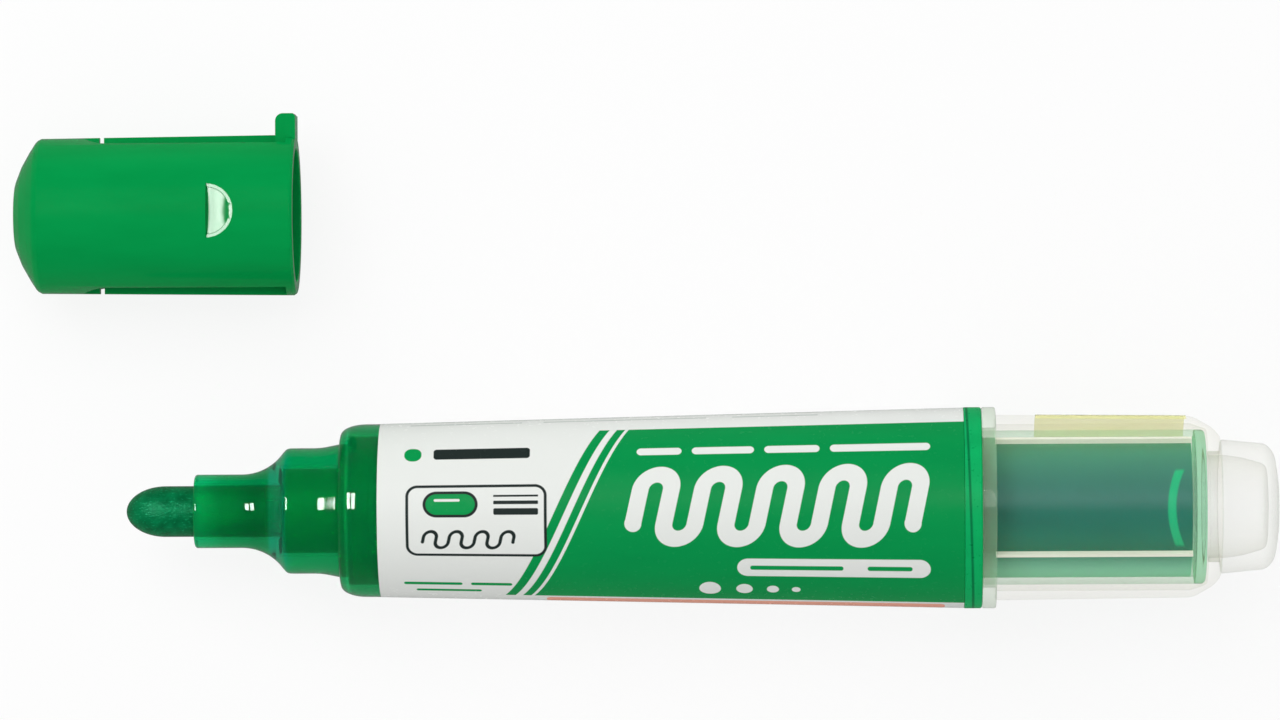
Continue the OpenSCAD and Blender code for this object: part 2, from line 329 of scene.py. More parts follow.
def inkFinish():
    # Dark ink, with a painted reflection that makes its far half greyer and painted light that
    # makes its near edge lighter, where the tube gathers light, and one bright crescent where its
    # end clings to the tube's top.
    material = mouldedPlastic("inkGreen", *inkLook["tones"], (0.3, 0.4),
                              Specular_IOR_Level=0.1, Sheen_Weight=0.8,
                              Sheen_Roughness=0.4, Sheen_Tint=colour("c8ffe0"))
    nodes = Nodes(material.node_tree)
    shader = material.node_tree.nodes["Principled BSDF"]
    plain = shader.inputs["Base Color"].links[0].from_socket
    centre = (penStart + Vector((inkLook["centre"] * mm, 0, 0))) / mm
    offset = nodes.vector("SUBTRACT", nodes.place(), tuple(centre))
    part = nodes.split(offset)
    # Painted reflection: the far half is greyer and lighter.
    body = nodes.mix(nodes.ramp(part["Y"], -0.5, 1.1), plain, inkLook["paintedReflectionHalf"])
    # Painted light: the near edge is lighter where the tube gathers light.
    paintedEdgeLight = nodes.math(
        "MULTIPLY", nodes.ramp(part["Y"], inkLook["nearFrom"], inkLook["nearTo"]),
        nodes.ramp(part["Z"], -1.5, 1.5))
    body = nodes.mix(paintedEdgeLight, body, inkLook["paintedEdgeLight"])
    flat = nodes.vector("MULTIPLY", offset, (1, 1, 0))
    line = nodes.math("ABSOLUTE", nodes.math(
        "SUBTRACT", nodes.vector("LENGTH", flat), inkLook["radius"]))
    half, reach = inkLook["width"] / 2, inkLook["reach"]
    mask = nodes.ramp(line, half - 0.1, half + 0.1, 1, 0)
    sideways = nodes.math("ABSOLUTE", part["Y"])
    for limit in (nodes.ramp(sideways, reach - 0.2, reach + 0.2, 1, 0),
                  nodes.ramp(part["X"], -4, -5), nodes.ramp(part["Z"], 0, 1)):
        mask = nodes.math("MULTIPLY", mask, limit)
    nodes.feed(shader.inputs["Base Color"], nodes.mix(mask, body, inkLook["crescent"]))
    return material


# The end of the shell's thread shows through the collar as one dark line.
collarLine = {"middle": 98.65, "fade": (0.08, 0.2), "share": 0.75, "tone": colour("036a40"),
              "slant": 0.03}
finishes = {
    "clearGreen": mouldedPlastic(
        "clearGreen", colour("06a660"), colour("05a05a"), (0.04, 0.07), 0.005,
        Transmission_Weight=0.75, IOR=1.1, Specular_IOR_Level=0.5, Coat_Weight=1.0,
        Coat_IOR=1.25, Coat_Roughness=0.04),
    "collarGreen": tintRing(mouldedPlastic(
        "collarGreen", colour("10c470"), colour("0cb868"), (0.25, 0.35), 0.005,
        Transmission_Weight=0.2, IOR=1.25, Specular_IOR_Level=0.05), **collarLine),
    "capGreen": mouldedPlastic(
        "capGreen", colour("049a4b"), colour("039447"), (0.08, 0.12), 0.005,
        Specular_IOR_Level=0.08),
    "capPolished": mouldedPlastic(
        "capPolished", colour("049a4b"), colour("039447"), (0.2, 0.26), 0.003,
        Specular_IOR_Level=0.22),
    "shellPlastic": seeThroughPlastic(
        "shellPlastic", colour("fff2b8"), colour("fcedb0"), (0.2, 0.3), (0.012, 0.13),
        Specular_IOR_Level=0.2),
    "flangePlastic": seeThroughPlastic(
        "flangePlastic", colour("dcfccc"), colour("d4f6c4"), (0.05, 0.08), (0.13, 0.4),
        Specular_IOR_Level=1.0),
    "sleevePlastic": mouldedPlastic(
        "sleevePlastic", colour("fbf8ea"), colour("f6f3e4"), (0.25, 0.35)),
    "ribPlastic": mouldedPlastic(
        "ribPlastic", colour("fffff0"), colour("f8fbe8"), (0.25, 0.35)),
    "plugPlastic": seeThroughPlastic(
        "plugPlastic", colour("fefcee"), colour("fbf9e8"), (0.14, 0.2), (0.05, 0.3),
        Specular_IOR_Level=0.6),
    "cartridgePlastic": seeThroughPlastic(
        "cartridgePlastic", colour("38ffa8"), colour("2ef69c"), (0.2, 0.3), (0.02, 0.32),
        Specular_IOR_Level=0.15),
    "cartridgeEnd": mouldedPlastic(
        "cartridgeEnd", colour("aee6c6"), colour("a6e0be"), (0.1, 0.16), 0.004,
        Transmission_Weight=0.92, IOR=1.04, Specular_IOR_Level=0.3),
    "naturalPlastic": mouldedPlastic(
        "naturalPlastic", colour("e9ecdf"), colour("dfe4d4"), (0.3, 0.42),
        Subsurface_Weight=0.1, Subsurface_Radius=(0.0006, 0.0008, 0.0006)),
    "tealPlastic": seeThroughPlastic(
        "tealPlastic", colour("28d8b0"), colour("20d0a6"), (0.2, 0.3), (0.3, 0.8),
        Specular_IOR_Level=0.1),
    "collectorPlastic": mouldedPlastic(
        "collectorPlastic", colour("0fa080"), colour("0c9476"), (0.3, 0.4)),
    "blackRubber": mouldedPlastic(
        "blackRubber", colour("15251f"), colour("0e1b17"), (0.55, 0.7), 0.04),
    "sealFoil": mouldedPlastic(
        "sealFoil", colour("d4d6d8"), colour("bfc2c6"), (0.2, 0.35), Metallic=1.0),
    "inkGreen": inkFinish(),
    "stickerYellow": mouldedPlastic(
        "stickerYellow", colour("fffddc"), colour("fcfad0"), (0.1, 0.16), 0.005,
        Transmission_Weight=0.85, IOR=1.02, Specular_IOR_Level=0.2),
    # The nib's fourth colour is painted light for the felt inside the mouthpiece.
    # The third colour of each felt is its painted glints.
    "nibFelt": feltFinish("nibFelt", colour("067a48"), colour("046238"), colour("1ca068"),
                          colour("0c8259")),
    "wickFibre": feltFinish("wickFibre", colour("067244"), colour("04643a"), colour("148a56")),
}
# The clear front is given painted light at its mouth, painted shade before the cone and a bluish
# tint in the cone, and the edge of the barrel's inner step gets a painted highlight as one pale
# line.
frontTints = [
    {"middle": 8.4, "fade": (0.4, 3.2), "share": 0.6, "tone": colour("14cc84")},
    {"middle": 15.5, "fade": (0.4, 3.2), "share": 0.36, "tone": colour("04693a")},
    {"middle": 18.0, "fade": (0.9, 1.2), "share": 0.85, "tone": colour("05aa7c")},
    {"middle": 26.25, "fade": (0.1, 0.3), "share": 0.6, "tone": colour("1cd080")},
]
for tint in frontTints:
    tintRing(finishes["clearGreen"], **tint)
print("plastics and felt mixed")


# The film printed round the barrel.

film = {
    "green": colour("059a4e"), "greenDeep": colour("03904a"), "white": colour("ecefeb"),
    "dark": colour("26302e"), "salmon": colour("f8ac94"), "greyInk": colour("c3cac4"),
    "fieldTop": 11.4, "fieldFoot": -13.3, "fieldEdge": 50.5, "fieldSlant": 0.45,
    "stripes": ((1.6, 0.42), (3.2, 0.2)), "blur": 0.04,
}
# Each bar is middle along, middle around, half length, half height, in mm.
whiteBars = [
    (62.6, 7.4, 2.6, 0.5), (70.0, 7.4, 3.6, 0.5), (78.0, 7.4, 3.2, 0.5), (88.2, 7.4, 5.8, 0.5),
    (82.8, -7.0, 11.2, 1.25),
]
greenBars = [(78.5, -7.0, 5.4, 0.3), (89.3, -7.0, 2.6, 0.3), (36.2, -10.4, 3.4, 0.28),
             (43.0, -10.4, 2.4, 0.28), (38.0, -12.0, 3.8, 0.28), (34.0, 7.6, 1.0, 1.0)]
darkBars = [(42.0, 7.6, 5.6, 0.8), (46.0, 1.9, 2.6, 0.12), (46.0, 1.1, 2.6, 0.22),
            (46.0, 0.0, 2.6, 0.4)]
greyBars = [(40.0, 14.4, 6.5, 0.16), (58.5, 14.4, 9.5, 0.16), (76.0, 14.4, 5.0, 0.16),
            (47.0, 16.2, 12.0, 0.16), (72.0, 16.2, 9.0, 0.16)]
whiteDots = [(68.4, -10.6, 1.25), (72.4, -10.6, 0.95), (75.7, -10.6, 0.7), (78.4, -10.6, 0.5)]
badge = {"middle": (41.4, -1.2), "half": (8.2, 4.5), "corner": 1.4, "line": 0.34,
         "pill": (38.4, 0.9), "pillHalf": (3.2, 1.6), "gleam": (38.0, 1.4, 1.5, 0.16)}
salmonStrip = {"middle": (72.5, -15.0), "half": (23.2, 1.15), "corner": 0.6,
               "rim": (0.4, 0.35), "rimCorner": 0.8}
scribble = {"start": 60.0, "lines": 10, "gap": 3.6, "middle": 0.5, "straight": 2.0,
            "stroke": 0.98, "slant": 0.22}
smallScribble = {"start": 35.2, "lines": 8, "gap": 1.5, "middle": -3.5, "straight": 0.3,
                 "stroke": 0.2, "slant": 0.2}


def printedFilm():
    material, nodes, shader = newFinish("printedFilm", Specular_IOR_Level=0.07)
    tree = material.node_tree
    wrap = tree.nodes.new("ShaderNodeUVMap")
    wrap.uv_map = "wrap"
    spot = nodes.vector("MULTIPLY", wrap.outputs["UV"], (100, 100, 0))
    along, around = [nodes.split(spot)[axis] for axis in "XY"]

    def inside(distance):
        return nodes.ramp(distance, -film["blur"], film["blur"], 1.0, 0.0)

    def bar(x, y, halfX, halfY, corner):
        offset = nodes.vector("ABSOLUTE", nodes.vector("SUBTRACT", spot, (x, y, 0)))
        beyond = nodes.vector("SUBTRACT", offset, (halfX - corner, halfY - corner, 0))
        reach = nodes.vector("LENGTH", nodes.vector("MAXIMUM", beyond, (0, 0, 0)))
        return inside(nodes.math("SUBTRACT", reach, corner))

    def together(masks):
        whole = masks[0]
        for mask in masks[1:]:
            whole = nodes.math("MAXIMUM", whole, mask)
        return whole

    def scribbled(shape):
        # One line that runs up and down in slanted strokes joined by half rings.
        bend = shape["gap"] / 2
        up = nodes.math("SUBTRACT", around, shape["middle"])
        across = nodes.math("SUBTRACT", nodes.math(
            "SUBTRACT", along, nodes.math("MULTIPLY", up, shape["slant"])), shape["start"])
        cell = nodes.math("FLOOR", nodes.math("DIVIDE", across, shape["gap"]))
        odd = nodes.math("FRACT", nodes.math("MULTIPLY", cell, 0.5))
        flip = nodes.math("SUBTRACT", 1, nodes.math("MULTIPLY", odd, 4))
        side = nodes.math("ABSOLUTE", nodes.math("SUBTRACT", nodes.math(
            "MODULO", nodes.math("ADD", across, 20 * shape["gap"]), shape["gap"]), bend))
        rise = nodes.math("MULTIPLY", up, flip)
        half = shape["straight"]

        def hypot(a, b):
            return nodes.math("SQRT", nodes.math(
                "ADD", nodes.math("MULTIPLY", a, a), nodes.math("MULTIPLY", b, b)))

        over = nodes.math("MAXIMUM", nodes.math("SUBTRACT", rise, half), 0)
        under = nodes.math("MINIMUM", nodes.math("ADD", rise, half), 0)
        ring = nodes.math("ABSOLUTE", nodes.math("SUBTRACT", hypot(side, over), bend))
        nextRing = nodes.math("SUBTRACT", hypot(
            nodes.math("SUBTRACT", 2 * bend, side), under), bend)
        below = nodes.math("LESS_THAN", rise, 0)
        distance = nodes.math("ADD", nodes.math("MULTIPLY", ring, nodes.math("SUBTRACT", 1, below)),
                              nodes.math("MULTIPLY", nextRing, below))
        body = inside(nodes.math("SUBTRACT", distance, shape["stroke"]))
        length = (shape["lines"] - 1) * shape["gap"]
        middle = nodes.math("ABSOLUTE", nodes.math("SUBTRACT", across, length / 2))
        within = nodes.math("LESS_THAN", middle, length / 2 + shape["stroke"])
        tail = nodes.math("MULTIPLY", nodes.math("GREATER_THAN", middle, length / 2 - bend),
                          nodes.math("LESS_THAN", up, -half))
        kept = nodes.math("MULTIPLY", within, nodes.math("SUBTRACT", 1, tail))
        foot = shape["middle"] - half
        ends = [bar(shape["start"] + x - half * shape["slant"], foot, *[shape["stroke"]] * 3)
                for x in (0, length)]
        return together([nodes.math("MULTIPLY", body, kept), *ends])

    slant = nodes.math("SUBTRACT", along, nodes.math("MULTIPLY", around, film["fieldSlant"]))
    edge = film["fieldEdge"]
    heights = nodes.math("MULTIPLY", inside(nodes.math("SUBTRACT", around, film["fieldTop"])),
                         inside(nodes.math("SUBTRACT", film["fieldFoot"], around)))
    field = nodes.math("MULTIPLY", heights, inside(nodes.math("SUBTRACT", edge, slant)))
    stripes = [
        inside(nodes.math("SUBTRACT", nodes.math("ABSOLUTE", nodes.math(
            "SUBTRACT", slant, edge + after)), width))
        for after, width in film["stripes"]
    ]

    def framed(middle, half, corner, rim, innerCorner):
        return [bar(*middle, *half, corner),
                bar(*middle, half[0] - rim, half[1] - rim, innerCorner)]

    line = badge["line"]
    edging, panel = framed(badge["middle"], badge["half"], badge["corner"], line,
                           badge["corner"] - line)
    pillHalf = badge["pillHalf"]
    pill, pillFill = framed(badge["pill"], pillHalf, pillHalf[1], line, pillHalf[1] - line)
    strip, stripRim = salmonStrip["half"], salmonStrip["rim"]
    stripEdge = [size + rim for size, rim in zip(strip, stripRim)]
    flow = nodes.noise(nodes.place((0.3, 1, 1)), 0.4, 3)
    layers = [
        (field, nodes.mix(flow, film["green"], film["greenDeep"])),
        (nodes.math("MULTIPLY", field, together(stripes)), film["white"]),
        (bar(*salmonStrip["middle"], *stripEdge, salmonStrip["rimCorner"]), film["white"]),
        (bar(*salmonStrip["middle"], *strip, salmonStrip["corner"]), film["salmon"]),
        (together([bar(*b, min(b[2:])) for b in whiteBars]), film["white"]),
        (together([bar(x, y, r, r, r) for x, y, r in whiteDots]), film["white"]),
        (scribbled(scribble), film["white"]),
        (together([bar(*b, min(b[2:]) * 0.9) for b in greenBars]), film["green"]),
        (edging, film["dark"]), (panel, film["white"]),
        (pill, film["dark"]), (pillFill, film["green"]),
        (bar(*badge["gleam"], badge["gleam"][3]), film["white"]),
        (scribbled(smallScribble), film["dark"]),
        (together([bar(*b, min(b[2:]) * 0.5) for b in darkBars]), film["dark"]),
        (together([bar(*b, 0.1) for b in greyBars]), film["greyInk"]),
    ]
    shown = film["white"]
    for mask, tone in layers:
        shown = nodes.mix(mask, shown, tone)
    nodes.feed(shader.inputs["Base Color"], shown)
    skin = nodes.noise(nodes.place(), 1.6, 3)
    nodes.feed(shader.inputs["Roughness"], nodes.ramp(skin, 0.2, 0.8, 0.2, 0.3))
    nodes.feed(shader.inputs["Normal"], nodes.bump(skin, 0.2, 0.015))
    return material


finishes["printedFilm"] = printedFilm()
print("film printed")


# Helpers for the turned pieces, then the pieces from the tip to the tail.

def soften(outline, arcSteps=5):
    # Replaces each corner that carries a third number by an arc of that radius.
    rounded = []
    count = len(outline)
    for i, corner in enumerate(outline):
        here = Vector(corner[:2])
        if len(corner) < 3:
            rounded.append(here)
            continue
        before = Vector(outline[i - 1][:2]) - here
        after = Vector(outline[(i + 1) % count][:2]) - here
        half = before.angle(after) / 2
        reach = min(corner[2] / math.tan(half), before.length * 0.49, after.length * 0.49)
        radius = reach * math.tan(half)
        bisector = (before.normalized() + after.normalized()).normalized()
        centre = here + bisector * (radius / math.sin(half))
        first = here + before.normalized() * reach - centre
        last = here + after.normalized() * reach - centre
        sweep = first.angle_signed(last)
        for step in range(arcSteps + 1):
            spoke = first.copy()
            spoke.rotate(Matrix.Rotation(-sweep * step / arcSteps, 2))
            rounded.append(centre + spoke)
    return rounded


def ellipseOut(r0, x0, r1, x1, steps=14):
    # Quarter ellipse that leaves its first point along the radius.
    turns = [math.pi / 2 * i / steps for i in range(steps + 1)]
    return [(r0 + (r1 - r0) * math.sin(t), x0 + (x1 - x0) * (1 - math.cos(t))) for t in turns]


def ellipseIn(r0, x0, r1, x1, steps=14):
    # Quarter ellipse that leaves its first point along the axis.
    turns = [math.pi / 2 * i / steps for i in range(steps + 1)]
    return [(r0 + (r1 - r0) * (1 - math.cos(t)), x0 + (x1 - x0) * math.sin(t)) for t in turns]


def addObject(name, mesh):
    piece = bpy.data.objects.new(name, mesh)
    scene.collection.objects.link(piece)
    return piece


def finishMesh(build, name, sharpAngle=32):
    bmesh.ops.remove_doubles(build, verts=build.verts, dist=1e-7)
    bmesh.ops.recalc_face_normals(build, faces=build.faces)
    mesh = bpy.data.meshes.new(name)
    build.to_mesh(mesh)
    build.free()
    mesh.shade_smooth()
    mesh.set_sharp_from_angle(angle=math.radians(sharpAngle))
    return mesh


def holdEnds(points, reach=0.12):
    # Adds a point near each end of the long straights, so that shading stays true there.
    held = []
    for here, following in zip(points, points[1:] + points[:1]):
        held.append(here)
        way = following - here
        if way.length > 5 * reach:
            step = way.normalized() * reach
            held += [here + step, following - step]
    return held


def lathe(name, start, outline, steps=192):
    # Turns a closed outline of (radius, along) points about the axis through start.
    build = bmesh.new()
    rings = []
    for radius, along in holdEnds(soften(outline)):
        if radius < 1e-4:
            rings.append([build.verts.new(start + Vector((along * mm, 0, 0)))] * steps)
            continue
        ring = []
        for i in range(steps):
            turn = 2 * math.pi * i / steps
            spot = Vector((along, radius * math.sin(turn), radius * math.cos(turn)))
            ring.append(build.verts.new(start + spot * mm))
        rings.append(ring)
    for ring, following in zip(rings, rings[1:] + rings[:1]):
        for i in range(steps):
            j = (i + 1) % steps
            corners = list(dict.fromkeys([ring[i], ring[j], following[j], following[i]]))
            if len(corners) > 2:
                build.faces.new(corners)
    return addObject(name, finishMesh(build, name))


def dress(piece, finish, body, slot, *nodes):
    piece.data.materials.clear()
    piece.data.materials.append(finishes[finish])
    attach(piece, body)
    if nodes:
        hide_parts(*nodes)


def turned(name, outline, finish, body, slot, node, steps=192, start=penStart):
    dress(lathe(name, start, outline, steps), finish, body, slot, node)


def wrapFilm(piece, start, radius):
    # A UV map in units of 100 mm: along the axis, and round it from the top.
    mesh = piece.data
    wrap = mesh.uv_layers.new(name="wrap")
    for face in mesh.polygons:
        centre = face.center - start
        middle = math.atan2(centre.y, centre.z)
        for corner in face.loop_indices:
            spot = mesh.vertices[mesh.loops[corner].vertex_index].co - start
            turn = math.atan2(spot.y, spot.z)
            turn += 2 * math.pi * round((middle - turn) / (2 * math.pi))
            wrap.data[corner].uv = (spot.x / mm / 100, turn * radius / 100)


# Every length below is in mm from the nib's tip, and every R is a radius.
mouthpiece = {
    "tubeR": 4.3, "boreR": 3.05, "flute": 13.55, "fluteR": 6.0, "fluteTurn": 54,
    "seat": 18.72, "seatR": 7.34, "flareEnd": 24.9, "flareR": 7.75, "skirt": 26.9,
    "skirtR": 8.65, "end": 31.0, "skirtBoreR": 7.85, "noseR": 4.95, "nose": 18.8, "noseEnd": 28.0,
}


def makeFront():
    m = mouthpiece
    turns = [math.radians(m["fluteTurn"]) * i / 14 for i in range(15)]
    flute = [(m["tubeR"] + m["fluteR"] * (1 - math.cos(t)),
              m["flute"] + m["fluteR"] * math.sin(t)) for t in turns]
    seat, seatR = m["seat"], m["seatR"]
    outline = [
        (m["boreR"], tubeMouth, 0.2), (m["tubeR"], tubeMouth, 0.35), *flute,
        (seatR - 0.22, seat), (seatR - 0.08, seat + 0.21), (seatR - 0.01, seat + 0.53),
        (seatR, seat + 1.08), (seatR, seat + 3.48), (seatR + 0.03, seat + 4.08),
        (seatR + 0.13, seat + 4.78), (m["flareR"], m["flareEnd"], 0.4),
        (m["flareR"], m["skirt"], 0.05), (m["skirtR"], m["skirt"], 0.1),
        (m["skirtR"], m["end"]), (m["skirtBoreR"], m["end"]), (m["skirtBoreR"], m["noseEnd"]),
        (m["noseR"], m["noseEnd"]), (m["noseR"], m["nose"]), (m["boreR"], m["nose"]),
    ]
    turned("mouthpieceTube", outline, "clearGreen", "barrel_group", "clear_green", "mouthpiece")


barrel = {
    "shoulder": 25.2, "faceR": 8.8, "throat": 26.3, "throatR": 7.8, "frontR": 10.1,
    "boreR": 8.7, "chamber": 61.5, "chamberR": 9.35, "socket": 90.5, "socketR": 10.56,
    "collarR": 11.75, "end": 100.05,
}
label = {"start": 29.85, "end": 97.97, "frontR": 10.13, "rearR": 11.71, "thick": 0.08,
         "wrapR": 10.9}


def makeBarrel():
    b = barrel
    inner = label["thick"]
    outline = [
        (b["throatR"], b["shoulder"], 0.1), (b["faceR"], b["shoulder"]),
        *ellipseOut(b["faceR"] + 0.05, b["shoulder"] + 0.03, b["frontR"], b["shoulder"] + 3),
        (label["frontR"] - 0.02, label["start"] - 0.05),
        (label["frontR"] - inner, label["start"]), (label["rearR"] - inner, label["end"]),
        (b["socketR"], label["end"]), (b["socketR"], b["socket"]),
        (b["chamberR"], b["socket"]), (b["chamberR"], b["chamber"]),
        (b["boreR"], b["chamber"]), (b["boreR"], b["throat"]), (b["throatR"], b["throat"]),
    ]
    turned("barrelShell", outline, "clearGreen", "barrel_group", "clear_green", "barrel")
    ring = [
        (b["socketR"], label["end"] + 0.01), (b["collarR"], label["end"] + 0.01, 0.1),
        (b["collarR"], b["end"], 0.25), (b["socketR"], b["end"], 0.15),
    ]
    turned("barrelCollar", ring, "collarGreen", "barrel_group", "clear_green", "barrel")


def makeLabel():
    front, rear, thick = label["frontR"], label["rearR"], label["thick"] - 0.01
    start, end = label["start"] + 0.02, label["end"] - 0.02
    outline = [(front - thick, start), (front, start, 0.03), (rear, end, 0.03),
               (rear - thick, end)]
    piece = lathe("labelFilm", penStart, outline, 256)
    wrapFilm(piece, penStart, label["wrapR"])
    dress(piece, "printedFilm", "barrel_group", "label_film", "barrel_label")


nib = {"radius": 2.97, "tip": 0.03, "domeEnd": 4.64, "end": 16.6}


def makeNib():
    outline = [*ellipseOut(0, nib["tip"], nib["radius"], nib["domeEnd"], 24),
               (nib["radius"], nib["end"], 0.2), (0, nib["end"])]
    turned("nibFelt", outline, "nibFelt", "nib_body", "felt_nib", "nib", steps=128)


nibStop = {"start": 16.65, "end": 18.8, "radius": 3.0, "boreR": 1.3, "wickR": 1.28,
           "wickStart": 16.66, "wickEnd": 62.0}


def makeNibStop():
    n = nibStop
    outline = [(n["boreR"], n["start"], 0.1), (n["radius"], n["start"], 0.15),
               (n["radius"], n["end"], 0.1), (n["boreR"], n["end"], 0.1)]
    turned("nibStopSleeve", outline, "tealPlastic", "barrel_group",
           "teal_plastic", "nib_stop", steps=96)
    rod = [(0, n["wickStart"]), (n["wickR"], n["wickStart"], 0.15),
           (n["wickR"], n["wickEnd"], 0.15), (0, n["wickEnd"])]
    turned("wickRod", rod, "wickFibre", "barrel_group", "wick_fibre", "feed_wick", steps=48)


cartridge = {"start": 66.0, "baseStart": 124.9, "end": 126.1, "radius": 9.0, "boreR": 8.2,
             "inkStart": 70.0, "inkEnd": 124.4, "inkHollow": 122.5, "inkR": 8.17, "hollowR": 7.9}


def makeCartridge():
    c = cartridge
    wallEnd = c["baseStart"] - 0.01
    wall = [(c["boreR"], c["start"]), (c["radius"], c["start"], 0.1),
            (c["radius"], wallEnd), (c["boreR"], wallEnd)]
    turned("cartridgeBody", wall, "cartridgePlastic", "cartridge_body",
           "cartridge_plastic", "cartridge_tube")
    disc = [(0, c["baseStart"]), (c["radius"], c["baseStart"]), (c["radius"], c["end"], 0.5),
            (0, c["end"])]
    turned("cartridgeEnd", disc, "cartridgeEnd", "cartridge_body",
           "cartridge_plastic", "cartridge_tube")
    # The ink's end is hollow, because it clings to the wall.
    outline = [(c["inkR"], c["inkStart"]), (c["inkR"], c["inkEnd"], 0.1),
               *ellipseIn(c["hollowR"], c["inkEnd"], 0.0, c["inkHollow"]), (0, c["inkStart"])]
    turned("inkBody", outline, "inkGreen", "cartridge_body", "green_ink", "ink_fill")


rearShell = {
    "frontR": 10.82, "rearR": 10.6, "innerR": 9.75, "floorR": 9.0, "floor": 126.3,
    "start": 101.71, "taperEnd": 124.2, "end": 127.9, "holeR": 6.5,
    "shoulder": [(10.47, 124.75), (10.25, 125.25), (9.8, 126.05), (9.36, 126.8),
                 (8.9, 127.35), (8.4, 127.75), (8.1, 127.9)],
    "flangeR": 11.75, "flangeStart": 100.1, "flangeEnd": 101.7, "boreR": 9.35,
    "sleeveR": 10.12, "sleeveStart": 91.0,
}


def makeRearShell():
    r = rearShell
    outline = [
        (r["frontR"], r["start"]), (r["rearR"], r["taperEnd"]), *r["shoulder"],
        (r["holeR"], r["end"], 0.1), (r["holeR"], r["floor"], 0.1), (r["floorR"], r["floor"]),
        (r["floorR"] + 0.2, r["floor"] - 0.3, 0.3), (r["innerR"], r["taperEnd"] + 0.2),
        (r["innerR"], r["start"]),
    ]
    turned("rearShellSkin", outline, "shellPlastic", "shell_body", "shell_plastic", "rear_shell")
    rim = [(r["boreR"], r["flangeStart"]), (r["flangeR"], r["flangeStart"], 0.15),
           (r["flangeR"], r["flangeEnd"], 0.25), (r["boreR"], r["flangeEnd"])]
    turned("rearShellFlange", rim, "flangePlastic", "shell_body", "shell_plastic", "rear_shell")
    sleeveEnd = r["flangeStart"] - 0.01
    ring = [(r["boreR"], r["sleeveStart"], 0.15), (r["sleeveR"], r["sleeveStart"], 0.15),
            (r["sleeveR"], sleeveEnd), (r["boreR"], sleeveEnd)]
    turned("rearShellSleeve", ring, "sleevePlastic", "shell_body", "shell_plastic", "rear_shell")


tailPlug = {
    "start": 126.5, "root": 127.95, "end": 134.8, "neckR": 6.45, "boreR": 6.0, "rootR": 7.84,
    "sideR": 7.4, "crownR": 4.8, "hollow": [(4.9, 133.3, 1.0), (5.7, 130.5, 1.0), (6.0, 128.5)],
}


def makeTailPlug():
    t = tailPlug
    end = t["end"]
    outline = [
        (t["boreR"], t["start"], 0.1), (t["neckR"], t["start"], 0.1), (t["neckR"], t["root"]),
        (t["rootR"], t["root"], 0.2), (t["sideR"], end - 2.4),
        *ellipseIn(t["sideR"], end - 2.3, t["crownR"], end - 0.4), (t["crownR"] - 0.4, end - 0.3),
        (3.0, end - 0.12), (0, end), (0, end - 1.2), *t["hollow"],
    ]
    turned("tailPlugCup", outline, "plugPlastic", "plug_body", "plug_plastic", "tail_plug")


# The turns are in degrees from straight up, towards the cap's side.
sticker = {"start": 106.4, "end": 123.9, "fromTurn": 75, "toTurn": 200, "lift": 0.01,
           "thick": 0.06, "steps": 96}


def makeSticker():
    # A thin film over part of the rear shell's back.
    k = sticker
    length = rearShell["taperEnd"] - rearShell["flangeEnd"]
    taper = (rearShell["frontR"] - rearShell["rearR"]) / length
    build = bmesh.new()
    rows = []
    for i in range(k["steps"] + 1):
        turn = math.radians(k["fromTurn"] + (k["toTurn"] - k["fromTurn"]) * i / k["steps"])
        row = []
        for along, raised in ((k["start"], 0), (k["start"], k["thick"]),
                              (k["end"], k["thick"]), (k["end"], 0)):
            shellR = rearShell["frontR"] - taper * (along - rearShell["flangeEnd"])
            radius = shellR + k["lift"] + raised
            spot = Vector((along, radius * math.sin(turn), radius * math.cos(turn)))
            row.append(build.verts.new(penStart + spot * mm))
        rows.append(row)
    for row, following in zip(rows, rows[1:]):
        for i in range(4):
            j = (i + 1) % 4
            build.faces.new((row[i], row[j], following[j], following[i]))
    build.faces.new(rows[0])
    build.faces.new(rows[-1])
    piece = addObject("stickerStrip", finishMesh(build, "stickerStrip"))
    dress(piece, "stickerYellow", "shell_body", "sticker_film", "shell_sticker")


# From the closed end of the cap.
innerCap = {"start": 3.2, "floor": 4.7, "step": 4.3, "mouth": 20.2, "plateR": 7.6,
            "outerR": 5.25, "lipR": 4.65, "boreR": 4.35}


def makeInnerCap():
    n = innerCap
    outline = [
        (0, n["start"]), (n["plateR"], n["start"], 0.1), (n["plateR"], n["step"], 0.15),
        (n["outerR"], n["step"]), (n["outerR"], n["mouth"], 0.25), (n["lipR"], n["mouth"], 0.15),
        (n["boreR"], n["mouth"] - 0.5), (n["boreR"], n["floor"], 0.5), (0, n["floor"]),
    ]
    turned("innerCapSleeve", outline, "naturalPlastic", "cap_body",
           "natural_plastic", "inner_cap", steps=128, start=capStart)


makeFront()
makeBarrel()
makeLabel()
makeNib()
makeNibStop()
makeCartridge()
makeRearShell()
makeTailPlug()
makeSticker()
makeInnerCap()
print("turned pieces made")


# The cap.

cap = {
    "length": 33.3, "endR": 9.1, "mouthR": 9.42, "flatY": 8.45, "finHalf": 0.75,
    "dome": [(3.9, 0.3, 2.5), (5.9, 1.1, 3.0), (7.65, 2.1, 3.0), (8.65, 2.75), (8.9, 3.0)],
    "domeEnd": 3.4, "roomR": 7.6, "grip": 24.2, "gripR": 7.39, "gripEnd": 31.4, "entryR": 7.8,
    "runX": 11.1, "runR": 6.0, "runTurn": 30, "rimX": 32.2, "gapX": 10.2, "gapW": 0.55,
    "lugX": 30.96, "lugEnd": 33.3, "lugRoot": 8.4, "lugReach": 11.9, "lugHalf": 2.4,
    "lugRound": 0.9, "bevel": 0.12, "clear": 10,  # clear is past the cap's widest place
}
notch = {
    "stepX": 23.25, "radius": 3.15, "depth": 0.95, "rise": 0.14, "bend": 0.036,
    "whiteEnd": 2.35, "steep": 0.3, "sideways": 0.45, "lipFrom": 2.78, "lipDepth": 0.12,
    "lipRise": 0.2, "above": 12, "steps": 32, "polishHalf": 3.7, "polishDepth": (0.05, 1.2),
}


